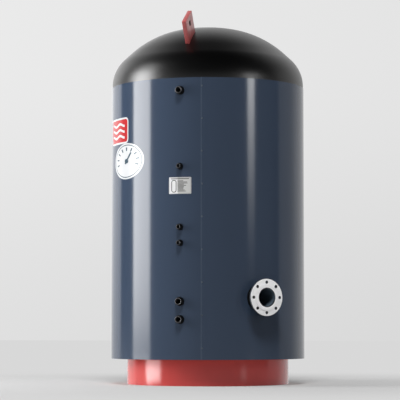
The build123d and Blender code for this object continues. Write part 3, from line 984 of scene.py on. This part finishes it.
# Camera
# Where the photograph was taken from, solved from the tank's edges, rivets and fittings:
# low, well back and with a long lens.
CAMERA_AZIMUTH = 16.0
CAMERA_DISTANCE = 11.412
CAMERA_HEIGHT = 0.364
CAMERA_RISE = 3.913
CAMERA_PAN = 0.246
CAMERA_LENS = 164.5
view = bpy.data.cameras.new("camera")
view.lens = CAMERA_LENS
view.sensor_width = 36
view.clip_end = 200
camera = bpy.data.objects.new("camera", view)
camera.location = outward(CAMERA_AZIMUTH, CAMERA_HEIGHT, CAMERA_DISTANCE).translation
camera.rotation_euler = (
    math.radians(90 + CAMERA_RISE), 0, math.radians(CAMERA_AZIMUTH + CAMERA_PAN),
)
bpy.context.scene.collection.objects.link(camera)
bpy.context.scene.camera = camera

# Floor
# A wide pale floor that keeps the tank's shadow near it and fades into the backdrop. It
# sends only a little light back up on the tank.
FLOOR_SIZE = 60
FLOOR_DROP = 0.0002
FLOOR_COLOUR = (0.48, 0.48, 0.48)
FLOOR_DARK = (0.36, 0.36, 0.36)
FLOOR_GLOW, FLOOR_EDGE, FLOOR_GLOW_SHARE = 0.66, 0.688, 0.25
FLOOR_NEAR, FLOOR_FAR = 0.6, 3.2
FLOOR_BOUNCE, BOUNCE_NEAR, BOUNCE_FAR = 0.06, 0.8, 3.5


class Glow(Board):
    """An emission material for the floor or a lamp."""

    def __init__(self, name):
        self.material = bpy.data.materials.new(name)
        self.material.use_nodes = True
        super().__init__(self.material.node_tree)
        self.tree.nodes.clear()

    def place(self):
        """Object coordinates, apart."""
        spot = self.add("ShaderNodeTexCoord", out="Object")
        return self.add("ShaderNodeSeparateXYZ", inputs={0: spot})

    def finish(self, shader):
        self.add("ShaderNodeOutputMaterial", inputs={"Surface": shader})
        return self.material


half = FLOOR_SIZE / 2
floor_corners = [(x, y, -FLOOR_DROP) for x in (-half, half) for y in (-half, half)]
floor = made("floor", floor_corners, [(0, 2, 3, 1)])
ground = Glow("floor")
spot = ground.place()
far = (spot * spot + spot.other("Y") * spot.other("Y")).root()
away = far.smooth(FLOOR_NEAR, FLOOR_FAR)
seen = ground.add("ShaderNodeLightPath", out="Is Camera Ray")
tone = ground.add("ShaderNodeMix", {"data_type": "RGBA"}, {
    0: seen, 6: rgba(FLOOR_DARK), 7: rgba(FLOOR_COLOUR),
}, out=2)
plain = ground.add("ShaderNodeBsdfDiffuse", inputs={"Color": tone})
bounce = (1 - far.smooth(BOUNCE_NEAR, BOUNCE_FAR)) * (1 - seen) * FLOOR_BOUNCE
bounced = ground.add("ShaderNodeEmission", inputs={"Strength": bounce})
plain = ground.add("ShaderNodeAddShader", inputs={0: plain, 1: bounced})
glow = away * (FLOOR_EDGE - FLOOR_GLOW) + FLOOR_GLOW
lit = ground.add("ShaderNodeEmission", inputs={"Strength": glow})
fade = seen * (away * (1 - FLOOR_GLOW_SHARE) + FLOOR_GLOW_SHARE)
surface = ground.add("ShaderNodeMixShader", inputs={0: fade, 1: plain, 2: lit})
floor.data.materials.append(ground.finish(surface))
floor.visible_glossy = False

# Lamps
# A tall softbox at the left, a narrow strip at the right, and a high fill in front that
# no glossy surface mirrors. The camera sees none of them.
LAMP_DISTANCE = 4.5
LAMP_FOOT = -0.6
SOFTBOX_AZIMUTH, SOFTBOX_WIDTH, SOFTBOX_TOP = -64.6, 2.07, 5.4
SOFTBOX_STRENGTH, SOFTBOX_FADE, SOFTBOX_LEAST, SOFTBOX_FOOT = 12.9, 0.42, 0.29, 0.03
SOFTBOX_DIM, SOFTBOX_DIM_FROM, SOFTBOX_DIM_TO = 0.78, 2.5, 4.6
STRIP_AZIMUTH, STRIP_WIDTH, STRIP_TOP = 65.0, 0.66, 2.6
STRIP_STRENGTH, STRIP_FOOT, STRIP_LEAST = 3.9, 0.7, 0.25
STRIP_LOW, STRIP_LOW_TOP = 1.5, 0.03
FILL_AZIMUTH, FILL_DISTANCE, FILL_WIDTH, FILL_FOOT, FILL_TOP = 16, 12, 6, 15, 24
FILL_STRENGTH = 42.0


def lamp(name, azimuth, distance, width, foot, top, strength):
    """An upright lamp that faces the tank, of one strength or one that a rule gives by height."""
    place = outward(azimuth, 0, distance)
    sides = [(-width / 2, foot), (width / 2, foot), (width / 2, top), (-width / 2, top)]
    thing = made(name, [place @ Vector((x, y, 0)) for x, y in sides], [(0, 1, 2, 3)])
    glow = Glow(name)
    if callable(strength):
        strength = strength(glow.place().other("Z"))
    light = glow.add("ShaderNodeEmission", inputs={"Strength": strength})
    thing.data.materials.append(glow.finish(light))
    thing.visible_camera = False
    return thing


def softbox_rule(z):
    """A glowing foot, a soft rise above the floor and a dimmer top."""
    fall = z / -SOFTBOX_FADE
    foot = 1 - z.step(SOFTBOX_FOOT, 0.02)
    body = (1 - fall.math("EXPONENT", fall)).most(SOFTBOX_LEAST).most(foot)
    dim = z.smooth(SOFTBOX_DIM_FROM, SOFTBOX_DIM_TO) * SOFTBOX_DIM
    return body * (1 - dim) * SOFTBOX_STRENGTH


def strip_rule(z):
    """Dark near the floor, apart from its foot, and brighter with height."""
    rise = (z - STRIP_FOOT).most(0)
    foot = (1 - z.step(STRIP_LOW_TOP, 0.06)) * STRIP_LOW
    return (rise * rise * STRIP_STRENGTH + STRIP_LEAST).most(foot)


lamp("softbox", SOFTBOX_AZIMUTH, LAMP_DISTANCE, SOFTBOX_WIDTH, LAMP_FOOT, SOFTBOX_TOP, softbox_rule)
lamp("strip", STRIP_AZIMUTH, LAMP_DISTANCE, STRIP_WIDTH, LAMP_FOOT, STRIP_TOP, strip_rule)
fill = lamp("fill", FILL_AZIMUTH, FILL_DISTANCE, FILL_WIDTH, FILL_FOOT, FILL_TOP, FILL_STRENGTH)
fill.visible_glossy = False

# Room
# What the tank mirrors between the lamps, by degrees left or right of the camera and by
# height: bright walls behind, a dark room in front and above. The camera itself sees a
# pale backdrop.
AHEAD_SLOPE, AHEAD_START, AHEAD_MOST, AHEAD_LEAST = -1.1, 0.08, 0.8, 0.015
GAP_FROM, GAP_TO = 98, 126.6
SIDE_FROM, SIDE_LEVEL = 93, 0.55
WALL_FROM, WALL_LEVEL, WALL_FADE = 126.2, 1.75, 0.35
WALL_FADE_FROM, WALL_FADE_TO = 128, 155
WALL_FOOT = 0.6
NEAR_LEVEL = 0.2
BELOW_LEVEL, BELOW_LEFT, BELOW_FROM, BELOW_TO = 0.42, 0.36, 60, 110
BACKDROP_LOW, BACKDROP_HIGH, BACKDROP_LEAN = 0.714, 0.800, 0.2

world = bpy.data.worlds.new("studio")
bpy.context.scene.world = world
world.use_nodes = True
room = Board(world.node_tree)
room.tree.nodes.clear()
ray = room.add("ShaderNodeTexCoord", out="Generated")
to_camera = outward(CAMERA_AZIMUTH, 0).col[2].to_3d()
to_right = outward(CAMERA_AZIMUTH, 0).col[0].to_3d()
dot = {"operation": "DOT_PRODUCT"}
front = room.add("ShaderNodeVectorMath", dot, {0: ray, 1: to_camera}, out="Value")
right = room.add("ShaderNodeVectorMath", dot, {0: ray, 1: to_right}, out="Value")
rise = room.add("ShaderNodeSeparateXYZ", inputs={0: ray}).other("Z")
turn = right.math("ARCTAN2", right, front) * (180 / math.pi)
left = -turn
ahead = (front * AHEAD_SLOPE + AHEAD_START).least(AHEAD_MOST).most(AHEAD_LEAST)
ahead = ahead * (1 - rise.smooth(0.65, 1.02))
gap = left.step(GAP_FROM, 6) * (1 - left.step(GAP_TO, 2)) * (1 - rise.smooth(0.2, 0.6))
side = turn.step(SIDE_FROM, 3) * SIDE_LEVEL * (1 - rise.smooth(0.3, 0.6))
wall = left.step(WALL_FROM, 3) * (WALL_LEVEL - left.smooth(WALL_FADE_FROM, WALL_FADE_TO) * WALL_FADE)
wall = wall * (rise.smooth(-0.03, 0.13) * (1 - WALL_FOOT) + WALL_FOOT) * (1 - rise.smooth(0.3, 0.85))
near = front.smooth(-0.2, 0.3) * (1 - abs(rise).smooth(0, 0.4)) * NEAR_LEVEL
below = (-rise).smooth(0.0, 0.03) * (left.smooth(BELOW_FROM, BELOW_TO) * BELOW_LEFT + BELOW_LEVEL)
studio = (ahead * (1 - gap)).most(side).most(wall).most(below).most(near)
backdrop = rise.smooth(-0.03, 0.15) * (BACKDROP_HIGH - BACKDROP_LOW) + BACKDROP_LOW
backdrop = backdrop - right * BACKDROP_LEAN
seen = room.add("ShaderNodeLightPath", out="Is Camera Ray")
level = seen * backdrop + (1 - seen) * studio
sky = room.add("ShaderNodeBackground", inputs={"Color": (1, 1, 1, 1), "Strength": level})
room.add("ShaderNodeOutputWorld", inputs={"Surface": sky})
bpy.context.scene.view_settings.view_transform = "Standard"
